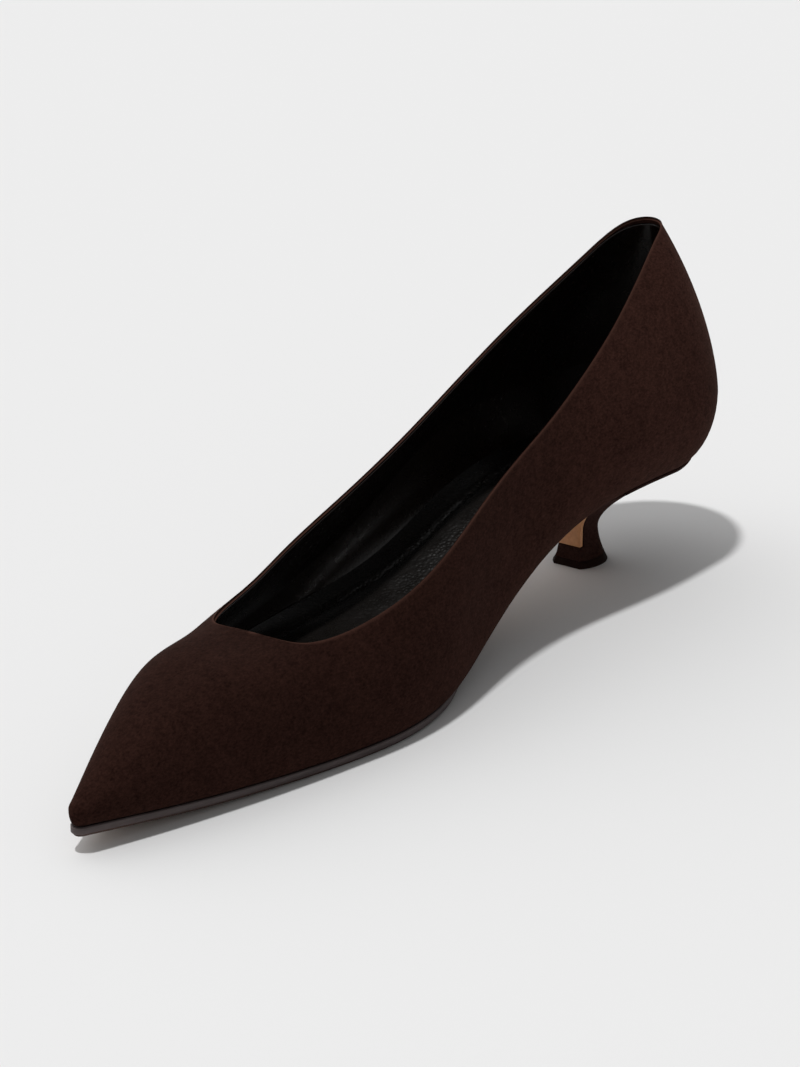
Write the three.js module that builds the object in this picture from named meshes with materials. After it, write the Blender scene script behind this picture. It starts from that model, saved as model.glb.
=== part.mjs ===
// Pointed toe pump with a kitten heel, wearer's right shoe.
// Millimetres, +Z up, floor at z = 0. The toe points to -Y and the medial side faces +X.
// The origin is the middle of the heel's contact with the floor.

import * as THREE from 'three';
import { mergeVertices } from 'three/addons/utils/BufferGeometryUtils.js';

// Driving sizes of the last
const LENGTH = 272;          // toe tip to the backmost point of the counter
const HEEL_REACH = 46;       // heel's floor centre to the backmost point of the counter
const BALL_WIDTH = 66;       // the upper across the ball of the foot
const INSTEP_HEIGHT = 60;    // instep over the ball's sole
const SEAT_HEIGHT = 26.5;    // rise of the heel seat over the forefoot
const COLLAR_HEIGHT = 92;    // top of the counter above the floor

// Driving sizes of the pieces
const WALL = 1.8;            // suede, counter and lining together
const TIP_REACH = 2.7;       // toe tip ahead of the first section
const TIP_UNDERCUT = 0.4;    // how much shorter that is at the feather line, as a share
const SOLE_THICKNESS = 2.6;
const SOLE_LEDGE = 0.7;      // sole beyond the line where the upper turns under
const WAIST_INSET = 2;       // sole inside that line at the waist
const WAIST = { start: 0.42, end: 0.58 }; // where the sole draws in, shares of LENGTH
const LIP_THICKNESS = 0.7;   // lower step of the sole's edge
const LIP_INSET = 0.6;
const SOCK_THICKNESS = 1.6;  // sock and its padding above the lasted margin
const BREAST_THICKNESS = 1.2;
const LIFT_THICKNESS = 2;
const CLEARANCE = 0.3;       // between pieces that touch on the real shoe

// Driving sizes of the heel, read in plan around the origin
const HEEL_BASE = { front: 7.8, frontHalf: 4.3, half: 7.4, back: 7.4 };
const HEEL_NECK = { front: 6.2, frontHalf: 3.4, half: 4, back: 5.4 };
const NECK_HEIGHT = 9.5;
const PANEL_FOOT = 6;        // lower end of the tan panel
const BREAST_LINE = 9.6;     // heel's front edge under the seat, ahead of the origin
const RIM_THICKNESS = 0.6;   // edge of the cup that holds the seat
const RIM_ANGLE = -70 * THREE.MathUtils.DEG2RAD; // where that edge ends on the upper's wrap
const FOOT_FLARE = 1.8;      // how fast the neck opens toward the floor
const BREAST_FLARE = 1.44;   // how fast the breast comes forward toward the sole

// Builds rows with named columns
function table(columns, rows) {
  return rows.map((row) => Object.fromEntries(columns.map((name, i) => [name, row[i]])));
}

// Sections across the last. along: share of LENGTH from the toe tip to the counter's back.
// rise: share of SEAT_HEIGHT. feather and widest half widths, lean of the ridge: shares of BALL_WIDTH.
// low: height of the widest line over the feather line, share of INSTEP_HEIGHT.
// ridge: top of the closed form above the floor, share of COLLAR_HEIGHT. round: exponent of each side's curve.
const SECTIONS = table(
  ['along', 'rise', 'featherMedial', 'featherLateral', 'widestMedial', 'widestLateral',
    'low', 'ridge', 'lean', 'roundMedial', 'roundLateral'],
  [
    [0.010, 0.155, 0.028, 0.028, 0.046, 0.047, 0.058, 0.139, 0.000, 2.00, 2.00],
    [0.060, 0.110, 0.095, 0.098, 0.128, 0.136, 0.065, 0.221, 0.000, 2.20, 2.30],
    [0.120, 0.065, 0.178, 0.182, 0.214, 0.232, 0.075, 0.290, 0.000, 2.50, 2.80],
    [0.200, 0.025, 0.278, 0.300, 0.314, 0.348, 0.085, 0.334, 0.000, 2.80, 3.00],
    [0.280, 0.000, 0.364, 0.410, 0.396, 0.444, 0.100, 0.350, 0.000, 2.90, 2.15],
    [0.360, 0.000, 0.425, 0.515, 0.455, 0.545, 0.110, 0.458, 0.005, 2.55, 1.40],
    [0.440, 0.005, 0.395, 0.542, 0.440, 0.570, 0.135, 0.577, 0.020, 2.55, 1.32],
    [0.520, 0.075, 0.285, 0.480, 0.370, 0.558, 0.185, 0.701, 0.040, 2.80, 1.24],
    [0.600, 0.315, 0.195, 0.355, 0.335, 0.500, 0.245, 0.786, 0.060, 2.70, 1.24],
    [0.690, 0.680, 0.190, 0.315, 0.365, 0.452, 0.295, 0.860, 0.060, 1.85, 1.26],
    [0.780, 0.860, 0.232, 0.300, 0.415, 0.415, 0.310, 0.932, 0.050, 1.60, 1.38],
    [0.880, 0.870, 0.280, 0.252, 0.435, 0.380, 0.300, 1.008, 0.030, 1.62, 1.44],
  ],
);

// Back of the counter. feather and crest: reach behind the last section, shares of the heel cup's reach.
// lead: how straight the ridge runs on from the sides. ease: how soon the topline levels out.
const BACK = {
  rise: 0.89, feather: 0.68, low: 0.32, ridge: 1.085, crest: 0.375, round: 1.3, lead: 0.65, ease: 1.95,
};

// Height of the topline on each side, share of COLLAR_HEIGHT
const TOPLINE = table(
  ['along', 'medial', 'lateral'],
  [
    [0.268, 0.320, 0.310],
    [0.330, 0.360, 0.310],
    [0.400, 0.408, 0.328],
    [0.480, 0.479, 0.393],
    [0.560, 0.557, 0.484],
    [0.640, 0.637, 0.587],
    [0.720, 0.731, 0.712],
    [0.800, 0.841, 0.837],
    [0.880, 0.951, 0.951],
  ],
);

// The throat, the U shaped front of the topline
const THROAT = { along: 0.268, corner: 20, square: 3.6 };

// Natural cubic spline through one column of a table
function curve(rows, column) {
  const xs = rows.map((row) => row.along);
  const ys = rows.map((row) => row[column]);
  const last = xs.length - 1;
  const bend = new Array(last + 1).fill(0);
  const share = new Array(last + 1).fill(0);
  for (let i = 1; i < last; i += 1) {
    const before = xs[i] - xs[i - 1];
    const after = xs[i + 1] - xs[i];
    const turn = 6 * ((ys[i + 1] - ys[i]) / after - (ys[i] - ys[i - 1]) / before);
    const pivot = 2 * (before + after) - before * share[i - 1];
    share[i] = after / pivot;
    bend[i] = (turn - before * bend[i - 1]) / pivot;
  }
  for (let i = last - 1; i > 0; i -= 1) {
    bend[i] -= share[i] * bend[i + 1];
  }
  return (x) => {
    let k = 0;
    while (k < last - 1 && x > xs[k + 1]) {
      k += 1;
    }
    const span = xs[k + 1] - xs[k];
    const a = (xs[k + 1] - x) / span;
    const b = (x - xs[k]) / span;
    const curl = ((a ** 3 - a) * bend[k] + (b ** 3 - b) * bend[k + 1]) * span * span / 6;
    return a * ys[k] + b * ys[k + 1] + curl;
  };
}

function curves(rows) {
  const names = Object.keys(rows[0]).filter((name) => name !== 'along');
  return Object.fromEntries(names.map((name) => [name, curve(rows, name)]));
}

const sectionCurves = curves(SECTIONS);
const toplineCurves = curves(TOPLINE);
const firstAlong = SECTIONS[0].along;
const lastAlong = SECTIONS[SECTIONS.length - 1].along;
const toeY = HEEL_REACH - LENGTH;
const cupY = toeY + lastAlong * LENGTH;
const cupReach = HEEL_REACH - cupY;
const SIDES = ['Medial', 'Lateral'];

// The toe's arc starts where it runs on from the sides, partway round an ellipse
const tipSlope = (sectionCurves.widestMedial(2 * firstAlong) - sectionCurves.widestMedial(firstAlong))
  * BALL_WIDTH / (firstAlong * LENGTH);
const tipLean = tipSlope * TIP_REACH / (sectionCurves.widestMedial(firstAlong) * BALL_WIDTH);
const tipSine = Math.min(tipLean / (1 - Math.min(tipLean, 0.4)), 0.7);
const tipTurn = Math.asin(tipSine);

// A station is a place along the last: 'toe' and 'cup' turn by an angle around the two ends,
// and 'body' stands at a share of the length.
function section(station) {
  const along = { toe: firstAlong, body: station.at, cup: lastAlong }[station.kind];
  const value = (name) => sectionCurves[name](along);
  const form = {
    station,
    y: toeY + along * LENGTH,
    feather: SOLE_THICKNESS + CLEARANCE + Math.max(value('rise'), 0) * SEAT_HEIGHT,
    low: value('low') * INSTEP_HEIGHT,
    ridge: value('ridge') * COLLAR_HEIGHT,
    lean: value('lean') * BALL_WIDTH,
  };
  for (const side of SIDES) {
    form[side] = {
      sign: side === 'Medial' ? 1 : -1,
      inner: value(`feather${side}`) * BALL_WIDTH,
      outer: value(`widest${side}`) * BALL_WIDTH,
      round: value(`round${side}`),
    };
  }
  if (station.kind === 'cup') {
    const turned = Math.sin(station.at);
    const blend = (from, to, share = turned ** 2) => from + (to - from) * share;
    form.feather = blend(form.feather, SOLE_THICKNESS + CLEARANCE + BACK.rise * SEAT_HEIGHT);
    form.low = blend(form.low, BACK.low * INSTEP_HEIGHT);
    const climb = turned * (BACK.lead + (1 - BACK.lead) * turned);
    form.ridge = blend(form.ridge, BACK.ridge * COLLAR_HEIGHT, climb);
    for (const side of SIDES) {
      form[side].round = blend(form[side].round, BACK.round);
    }
  }
  return form;
}

// Distance from the middle and height on one side of a section.
// angle: -90 degrees at the feather line, 0 at the widest line, 90 degrees at the ridge.
// depth: how far inside the outer face.
function profile(form, side, angle, depth) {
  const half = form[side];
  const widest = half.outer - depth;
  const middle = form.feather + form.low;
  if (angle <= 0) {
    const foot = Math.min(half.inner, widest);
    return {
      x: half.sign * (foot + (widest - foot) * Math.cos(angle)),
      z: middle + (form.low - depth) * Math.sin(angle),
      grow: Math.cos(angle),
      low: true,
    };
  }
  const grow = Math.max(Math.cos(angle), 0) ** (2 / half.round);
  return {
    x: form.lean + (half.sign * widest - form.lean) * grow,
    z: middle + (form.ridge - depth - middle) * Math.sin(angle) ** (2 / half.round),
    grow,
    low: false,
  };
}

// Point of the last's form at a station, on one side
function formPoint(form, side, angle, depth = 0) {
  const here = profile(form, side, angle, depth);
  if (form.station.kind === 'body') {
    return new THREE.Vector3(here.x, form.y, here.z);
  }
  const turn = form.station.at;
  if (form.station.kind === 'toe') {
    const reach = (TIP_REACH - depth) * (here.low ? 1 - TIP_UNDERCUT * (1 - here.grow) : here.grow);
    const share = (Math.sin(turn) - tipSine) / (1 - tipSine);
    return new THREE.Vector3(here.x * Math.cos(turn) / Math.cos(tipTurn), form.y - reach * share, here.z);
  }
  const other = profile(form, side === 'Medial' ? 'Lateral' : 'Medial', angle, depth);
  const middle = (here.x + other.x) / 2;
  const least = (here.low ? BACK.feather : BACK.crest) * cupReach;
  const reach = least + (cupReach - depth - least) * here.grow;
  return new THREE.Vector3(
    middle + (here.x - middle) * Math.cos(turn),
    form.y + reach * Math.sin(turn),
    here.z,
  );
}

// Angle at which the topline cuts a section
function toplineAngle(form, side) {
  const { kind, at } = form.station;
  if (kind === 'toe' || (kind === 'body' && at <= THROAT.along)) {
    return Math.PI / 2;
  }
  const sideTop = toplineCurves[side.toLowerCase()];
  const along = kind === 'body' ? at : lastAlong;
  let height = sideTop(along) * COLLAR_HEIGHT;
  if (kind === 'cup') {
    height += (COLLAR_HEIGHT - height) * (1 - (1 - Math.sin(at)) ** BACK.ease);
  }
  const round = form[side].round;
  const middle = form.feather + form.low;
  const share = THREE.MathUtils.clamp((height - middle) / (form.ridge - middle), 0, 1);
  let grow = (1 - share ** round) ** (1 / round);
  const past = kind === 'body' ? (at - THROAT.along) * LENGTH / THROAT.corner : 1;
  if (past < 1) {
    grow *= (1 - (1 - past) ** THROAT.square) ** (1 / THROAT.square);
  }
  return Math.acos(Math.min(grow ** (round / 2), 1));
}

// Stations from the toe tip to the back of the counter
const TOE_STEPS = 4;
const VAMP_STEPS = 12;
const COLLAR_STEPS = 26;
const CUP_STEPS = 8;
const THROAT_CROWDING = 1.7;

function steps(count, at) {
  return Array.from({ length: count }, (_, i) => at(i / count));
}

const stations = [
  ...steps(TOE_STEPS, (t) => ({ kind: 'toe', at: Math.PI / 2 - t * (Math.PI / 2 - tipTurn) })),
  ...steps(VAMP_STEPS, (t) => ({ kind: 'body', at: firstAlong + (THROAT.along - firstAlong) * t })),
  ...steps(COLLAR_STEPS, (t) => (
    { kind: 'body', at: THROAT.along + (lastAlong - THROAT.along) * t ** THROAT_CROWDING })),
  ...steps(CUP_STEPS, (t) => ({ kind: 'cup', at: t * Math.PI / 2 })),
  { kind: 'cup', at: Math.PI / 2 },
];

// Collects the triangles of one closed body
class Shell {
  constructor() {
    this.points = [];
    this.corners = [];
  }

  quad(a, b, c, d, flip = false) {
    const base = this.points.length;
    this.points.push(a, b, c, d);
    const order = flip ? [0, 2, 1, 0, 3, 2] : [0, 1, 2, 0, 2, 3];
    this.corners.push(...order.map((k) => base + k));
  }

  // Joins two rows of points of the same count
  strip(from, to, flip = false) {
    for (let i = 0; i + 1 < from.length; i += 1) {
      this.quad(from[i], to[i], to[i + 1], from[i + 1], flip);
    }
  }

  mesh(name, material) {
    const raw = new THREE.BufferGeometry().setFromPoints(this.points);
    raw.setIndex(this.corners);
    const geometry = mergeVertices(raw, 1e-4);
    const index = Array.from(geometry.index.array);
    const kept = [];
    for (let i = 0; i < index.length; i += 3) {
      const [a, b, c] = index.slice(i, i + 3);
      if (a !== b && b !== c && c !== a) {
        kept.push(a, b, c);
      }
    }
    geometry.setIndex(kept);
    geometry.computeVertexNormals();
    const body = new THREE.Mesh(geometry, material);
    body.name = name;
    return body;
  }
}

function finish(color, roughness) {
  return new THREE.MeshStandardMaterial({ color, roughness, metalness: 0 });
}

const suede = finish(0x2a1813, 0.95);
const heelSuede = finish(0x1c110d, 0.95);
const tanLeather = finish(0x744e34, 0.55);
const darkLeather = finish(0x2b2523, 0.5);
const sockLeather = finish(0x0d0c0b, 0.35);
const liftRubber = finish(0x120e0c, 0.7);

// The upper: outer and inner faces of one wall, with rims at the topline and at the feather line
const LOW_ROWS = 6;
const WALL_ROWS = 9;

function upper() {
  const shell = new Shell();
  for (const side of SIDES) {
    const faces = [0, WALL].map((depth) => stations.map((station) => {
      const form = section(station);
      const top = toplineAngle(form, side);
      const angles = [
        ...steps(LOW_ROWS, (t) => (t - 1) * Math.PI / 2),
        ...steps(WALL_ROWS, (t) => t * top),
        top,
      ];
      return angles.map((angle) => formPoint(form, side, angle, depth));
    }));
    const [outer, inner] = faces;
    const flip = side === 'Lateral';
    for (let i = 0; i + 1 < stations.length; i += 1) {
      shell.strip(outer[i], outer[i + 1], flip);
      shell.strip(inner[i], inner[i + 1], !flip);
      shell.quad(inner[i][0], inner[i + 1][0], outer[i + 1][0], outer[i][0], flip);
      const end = outer[i].length - 1;
      if (stations[i].kind !== 'toe' && !(stations[i].kind === 'body' && stations[i].at < THROAT.along)) {
        shell.quad(outer[i][end], outer[i + 1][end], inner[i + 1][end], inner[i][end], flip);
      }
    }
  }
  return shell.mesh('upper', suede);
}

// A piece that runs along the last: each station gives one path per side,
// from the middle of the underside round the edge to the middle of the top.
function runner(name, material, places, path, capBack) {
  const shell = new Shell();
  const rows = places.map((station) => {
    const form = section(station);
    const [medial, lateral] = SIDES.map((side) => path(form, side));
    for (const end of [0, medial.length - 1]) {
      const middle = medial[end].clone().add(lateral[end]).multiplyScalar(0.5);
      medial[end].copy(middle);
      lateral[end].copy(middle);
    }
    return { medial, lateral };
  });
  for (let i = 0; i + 1 < rows.length; i += 1) {
    shell.strip(rows[i].medial, rows[i + 1].medial);
    shell.strip(rows[i].lateral, rows[i + 1].lateral, true);
  }
  shell.strip(rows[0].lateral, rows[0].medial, false);
  if (capBack) {
    const back = rows[rows.length - 1];
    shell.strip(back.medial, back.lateral, false);
  }
  return shell.mesh(name, material);
}

// Edge point of the sole at a height, some way outside the feather line
function edgePoint(form, side, beyond, z) {
  const foot = formPoint(form, side, -Math.PI / 2);
  const turn = form.station.kind === 'toe'
    ? (form.station.at - tipTurn) / (Math.PI / 2 - tipTurn) * Math.PI / 2
    : 0;
  const out = new THREE.Vector3(form[side].sign * Math.cos(turn), -Math.sin(turn), 0);
  foot.addScaledVector(out, beyond);
  foot.z = z;
  return foot;
}

// How far the sole stands beyond the feather line at a station
function ledge(form) {
  const share = THREE.MathUtils.smoothstep((form.y - toeY) / LENGTH, WAIST.start, WAIST.end);
  return THREE.MathUtils.lerp(SOLE_LEDGE, -WAIST_INSET, share);
}

// The outsole runs from the toe tip to the heel's breast. Its lower edge steps in.
function outsole() {
  const end = (-BREAST_LINE - CLEARANCE - toeY) / LENGTH;
  const places = [
    ...stations.filter((station) => station.kind === 'toe' || (station.kind === 'body' && station.at < end)),
    { kind: 'body', at: end },
  ];
  return runner('outsole', darkLeather, places, (form, side) => {
    const top = form.feather - CLEARANCE;
    const bottom = top - SOLE_THICKNESS;
    const step = bottom + LIP_THICKNESS;
    const beyond = ledge(form);
    const foot = edgePoint(form, side, beyond - LIP_INSET, bottom);
    const head = edgePoint(form, side, beyond, top);
    return [
      foot.clone(),
      foot,
      edgePoint(form, side, beyond - LIP_INSET, step),
      edgePoint(form, side, beyond, step),
      head,
      head.clone(),
    ];
  }, true);
}

// The insole lies on the lasted margin and fills the space inside it
const SOCK_START = 0.05;

function insole() {
  const places = [
    { kind: 'body', at: SOCK_START },
    ...stations.filter((station) => station.kind === 'cup'
      || (station.kind === 'body' && station.at > SOCK_START)),
  ];
  const depth = WALL + CLEARANCE;
  return runner('insole', sockLeather, places, (form, side) => {
    const shoulder = form.feather + depth;
    const rimSine = SOCK_THICKNESS / (form.low - depth) - 1;
    const rim = Math.asin(Math.min(rimSine, 0));
    const wall = [0, 0.5, 1].map((t) => (
      formPoint(form, side, -Math.PI / 2 + (rim + Math.PI / 2) * t, depth)));
    const turn = form.station.kind === 'cup' ? form.station.at : 0;
    const inside = (z) => {
      const point = formPoint(form, side, -Math.PI / 2);
      point.x -= form[side].sign * CLEARANCE * Math.cos(turn);
      point.y -= CLEARANCE * Math.sin(turn);
      point.z = z;
      return point;
    };
    const underside = inside(form.feather);
    const top = wall[2].clone();
    return [underside.clone(), underside, inside(shoulder), ...wall, top];
  }, false);
}

// Half outline of the heel in plan: share 0 at the front corner, 1 at the back
function heelOutline(size, share) {
  const corner = Math.acos(size.frontHalf / size.half);
  const angle = -corner + (Math.PI / 2 + corner) * share;
  const reach = angle > 0 ? size.back : size.front / Math.sin(corner);
  return new THREE.Vector2(size.half * Math.cos(angle), reach * Math.sin(angle));
}

// Share of the way from the neck to the base, at a height below the neck
function footShare(z) {
  return ((NECK_HEIGHT - z) / NECK_HEIGHT) ** FOOT_FLARE;
}

const panelInset = BREAST_THICKNESS + CLEARANCE;
const soleUnderside = (y) => (
  section({ kind: 'body', at: (y - toeY) / LENGTH }).feather - CLEARANCE - SOLE_THICKNESS);
const panelTop = soleUnderside(-BREAST_LINE - panelInset) - CLEARANCE;

// How far forward the finished front of the heel stands at a height, panel included
function frontLine(z) {
  if (z < NECK_HEIGHT) {
    return THREE.MathUtils.lerp(HEEL_NECK.front, HEEL_BASE.front, footShare(z));
  }
  const share = Math.min((z - NECK_HEIGHT) / (panelTop - NECK_HEIGHT), 1);
  return THREE.MathUtils.lerp(HEEL_NECK.front, BREAST_LINE + panelInset, share ** BREAST_FLARE);
}

const HEEL_STEPS = 14;
const RIM_SIDE = 0.4;        // share of the half outline that lies along the side of the seat
const heelShares = [...steps(HEEL_STEPS, (t) => t), 1];

// Station of the last that the heel's rim meets at a share of its half outline
function rimStation(share) {
  const front = (-BREAST_LINE - toeY) / LENGTH;
  if (share < RIM_SIDE) {
    return { kind: 'body', at: front + (lastAlong - front) * share / RIM_SIDE };
  }
  return { kind: 'cup', at: (share - RIM_SIDE) / (1 - RIM_SIDE) * Math.PI / 2 };
}

// Point of the seat's cup, under the wrap of the upper
function cupPoint(share, side, angle, thickness = 0) {
  return formPoint(section(rimStation(share)), side, angle, -CLEARANCE - thickness);
}

// Point between the floor and the neck
function footPoint(share, side, z) {
  const sign = side === 'Medial' ? 1 : -1;
  const at = heelOutline(HEEL_NECK, share).lerp(heelOutline(HEEL_BASE, share), footShare(z));
  return new THREE.Vector3(sign * at.x, at.y, z);
}

// Point between the neck and the rim: rises straight at first and ends along the wrap
const NECK_PULL = 0.42;
const RIM_PULL = 0.36;
const WRAP_STEP = 0.02;      // radians between two points that give the wrap's direction

function flarePoint(share, side, rise) {
  const start = footPoint(share, side, NECK_HEIGHT);
  const end = cupPoint(share, side, RIM_ANGLE, RIM_THICKNESS);
  const below = cupPoint(share, side, RIM_ANGLE - WRAP_STEP, RIM_THICKNESS);
  const slope = end.clone().sub(below).normalize();
  const straight = start.clone().setZ(start.z + NECK_PULL * (end.z - start.z));
  const along = end.clone().addScaledVector(slope, -RIM_PULL * end.distanceTo(start));
  return new THREE.CubicBezierCurve3(start, straight, along, end).getPoint(rise);
}

// Closed ring round the heel: medial side to the back, lateral side to the front, then across
const FRONT_SHARES = [0.05, 0.1, 0.2, 0.8, 0.9, 0.95];

function heelRing(pointAt, inset) {
  const half = (side) => heelShares.map((share) => {
    const point = pointAt(share, side);
    const front = inset - frontLine(point.z);
    point.y = share === 0 ? front : Math.max(point.y, front);
    return point;
  });
  const medial = half('Medial');
  const lateral = half('Lateral');
  const across = FRONT_SHARES.map((t) => lateral[0].clone().lerp(medial[0], t));
  return { medial, lateral, across };
}

function ringLoop({ medial, lateral, across }) {
  return [...medial, ...lateral.slice(0, -1).reverse(), ...across, medial[0]];
}

function loft(shell, rings) {
  for (let i = 0; i + 1 < rings.length; i += 1) {
    shell.strip(ringLoop(rings[i]), ringLoop(rings[i + 1]), true);
  }
}

// Flat face across a ring, facing down or up
function ringFace(shell, { medial, lateral, across }, up) {
  const front = [medial[0], ...across.slice().reverse(), lateral[0]];
  const apex = medial[1];
  for (let i = 0; i + 1 < front.length; i += 1) {
    shell.quad(front[i], front[i + 1], apex, apex, up);
  }
  shell.quad(lateral[0], lateral[1], apex, apex, up);
  shell.strip(medial.slice(1), lateral.slice(1), up);
}

// The heel: flared foot, narrow neck, and a cup that holds the seat
const FOOT_STEPS = 2;
const NECK_STEPS = 2;
const FLARE_STEPS = 7;

function heel() {
  const shell = new Shell();
  const foot = LIFT_THICKNESS + CLEARANCE;
  const notch = PANEL_FOOT - CLEARANCE;
  const footRing = (z, inset) => heelRing((share, side) => footPoint(share, side, z), inset);
  const rings = [
    ...steps(FOOT_STEPS, (t) => footRing(foot + (notch - foot) * t, 0)),
    footRing(notch, 0),
    ...steps(NECK_STEPS, (t) => footRing(notch + (NECK_HEIGHT - notch) * t, panelInset)),
    ...[...steps(FLARE_STEPS, (rise) => rise), 1].map((rise) => (
      heelRing((share, side) => flarePoint(share, side, rise), panelInset))),
  ];
  const cup = heelShares.map((share) => [
    cupPoint(share, 'Medial', RIM_ANGLE, RIM_THICKNESS),
    ...[RIM_ANGLE, (RIM_ANGLE - Math.PI / 2) / 2, -Math.PI / 2].map((angle) => cupPoint(share, 'Medial', angle)),
    ...[-Math.PI / 2, (RIM_ANGLE - Math.PI / 2) / 2, RIM_ANGLE].map((angle) => cupPoint(share, 'Lateral', angle)),
    cupPoint(share, 'Lateral', RIM_ANGLE, RIM_THICKNESS),
  ]);
  rings[rings.length - 1].across = cup[0].slice(1, -1).reverse();
  loft(shell, rings);
  ringFace(shell, rings[0], false);
  for (let i = 0; i + 1 < cup.length; i += 1) {
    shell.strip(cup[i], cup[i + 1]);
  }
  return shell.mesh('heel', heelSuede);
}

// Thin dark tip that the heel stands on
function topLift() {
  const shell = new Shell();
  const rings = [0, LIFT_THICKNESS].map((z) => heelRing((share, side) => footPoint(share, side, z), 0));
  loft(shell, rings);
  ringFace(shell, rings[0], false);
  ringFace(shell, rings[1], true);
  return shell.mesh('top_lift', liftRubber);
}

// Where the heel's front corner stands at a height
const HALVINGS = 30;

function frontCorner(side, z) {
  if (z < NECK_HEIGHT) {
    return footPoint(0, side, z).x;
  }
  let low = 0;
  let high = 1;
  for (let i = 0; i < HALVINGS; i += 1) {
    const rise = (low + high) / 2;
    if (flarePoint(0, side, rise).z < z) {
      low = rise;
    } else {
      high = rise;
    }
  }
  return flarePoint(0, side, low).x;
}

// Tan panel let into the front of the heel, from above the foot to the sole
const PANEL_STEPS = 8;

function heelBreast() {
  const shell = new Shell();
  const rows = [...steps(PANEL_STEPS, (t) => t), 1].map((t) => {
    const z = THREE.MathUtils.lerp(PANEL_FOOT, panelTop, t);
    const [right, left] = SIDES.map((side) => frontCorner(side, z));
    const front = -frontLine(z);
    const back = front + BREAST_THICKNESS;
    return [[left, front], [right, front], [right, back], [left, back], [left, front]]
      .map(([x, y]) => new THREE.Vector3(x, y, z));
  });
  for (let i = 0; i + 1 < rows.length; i += 1) {
    shell.strip(rows[i], rows[i + 1], true);
  }
  const last = rows[rows.length - 1];
  shell.quad(rows[0][3], rows[0][2], rows[0][1], rows[0][0]);
  shell.quad(last[0], last[1], last[2], last[3]);
  return shell.mesh('heel_breast', tanLeather);
}

const pump = new THREE.Group();
pump.add(upper(), outsole(), insole(), heel(), heelBreast(), topLift());

export default pump;
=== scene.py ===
# Looks of the pointed toe pump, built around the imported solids.
# The form is worked out in millimetres, +Z up, floor at z = 0, toe towards -Y, medial side towards +X.

import math
import random
from bisect import bisect_right

import bpy
import numpy as np
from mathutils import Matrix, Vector


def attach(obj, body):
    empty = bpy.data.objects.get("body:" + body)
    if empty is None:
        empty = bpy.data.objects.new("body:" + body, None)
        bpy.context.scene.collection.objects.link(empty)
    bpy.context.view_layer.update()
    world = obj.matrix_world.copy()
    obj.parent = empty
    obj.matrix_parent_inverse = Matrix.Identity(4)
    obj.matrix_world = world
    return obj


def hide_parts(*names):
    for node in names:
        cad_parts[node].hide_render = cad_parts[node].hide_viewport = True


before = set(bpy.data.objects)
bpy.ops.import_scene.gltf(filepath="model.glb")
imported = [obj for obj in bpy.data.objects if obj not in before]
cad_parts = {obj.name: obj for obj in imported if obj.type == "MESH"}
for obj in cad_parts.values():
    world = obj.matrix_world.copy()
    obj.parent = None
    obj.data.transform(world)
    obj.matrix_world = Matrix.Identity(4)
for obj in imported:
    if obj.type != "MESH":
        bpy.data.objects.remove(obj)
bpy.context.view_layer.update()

MM = 0.001
BODY = "root"

# Driving sizes, as in the solids
LENGTH = 272.0
HEEL_REACH = 46.0
BALL_WIDTH = 66.0
INSTEP_HEIGHT = 60.0
SEAT_HEIGHT = 26.5
COLLAR_HEIGHT = 92.0
WALL = 1.8
TIP_REACH = 2.7
TIP_UNDERCUT = 0.4
SOLE_THICKNESS = 2.6
SOLE_LEDGE = 0.7
WAIST_INSET = 2.0
WAIST_START, WAIST_END = 0.42, 0.58
LIP_THICKNESS = 0.7
LIP_INSET = 0.6
SOCK_THICKNESS = 1.6
BREAST_THICKNESS = 1.2
LIFT_THICKNESS = 2.0
CLEARANCE = 0.3

# Sizes that only the finished surface has
SUEDE = 1.0            # folded suede at the topline
FOLD = 0.45            # the topline's rolled edge stands this far above the cut
LINING_DROP = 1.5      # lining's edge below the topline
LINING_GAP = 0.04
MARGIN = 9.0           # suede turned under the foot
MARGIN_THICKNESS = 0.8

HEEL_BASE = {"front": 7.8, "front_half": 4.3, "half": 7.4, "back": 7.4}
HEEL_NECK = {"front": 6.2, "front_half": 3.4, "half": 4.0, "back": 5.4}
NECK_HEIGHT = 9.5
PANEL_FOOT = 6.0
BREAST_LINE = 9.6
RIM_THICKNESS = 0.6
RIM_ANGLE = math.radians(-70)
FOOT_FLARE = 1.8
BREAST_FLARE = 1.44

COLUMNS = ("along", "rise", "feather_medial", "feather_lateral", "widest_medial", "widest_lateral",
           "low", "ridge", "lean", "round_medial", "round_lateral")
SECTIONS = (
    (0.010, 0.155, 0.028, 0.028, 0.046, 0.047, 0.058, 0.139, 0.000, 2.00, 2.00),
    (0.060, 0.110, 0.095, 0.098, 0.128, 0.136, 0.065, 0.221, 0.000, 2.20, 2.30),
    (0.120, 0.065, 0.178, 0.182, 0.214, 0.232, 0.075, 0.290, 0.000, 2.50, 2.80),
    (0.200, 0.025, 0.278, 0.300, 0.314, 0.348, 0.085, 0.334, 0.000, 2.80, 3.00),
    (0.280, 0.000, 0.364, 0.410, 0.396, 0.444, 0.100, 0.350, 0.000, 2.90, 2.15),
    (0.360, 0.000, 0.425, 0.515, 0.455, 0.545, 0.110, 0.458, 0.005, 2.55, 1.40),
    (0.440, 0.005, 0.395, 0.542, 0.440, 0.570, 0.135, 0.577, 0.020, 2.55, 1.32),
    (0.520, 0.075, 0.285, 0.480, 0.370, 0.558, 0.185, 0.701, 0.040, 2.80, 1.24),
    (0.600, 0.315, 0.195, 0.355, 0.335, 0.500, 0.245, 0.786, 0.060, 2.70, 1.24),
    (0.690, 0.680, 0.190, 0.315, 0.365, 0.452, 0.295, 0.860, 0.060, 1.85, 1.26),
    (0.780, 0.860, 0.232, 0.300, 0.415, 0.415, 0.310, 0.932, 0.050, 1.60, 1.38),
    (0.880, 0.870, 0.280, 0.252, 0.435, 0.380, 0.300, 1.008, 0.030, 1.62, 1.44),
)
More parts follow.
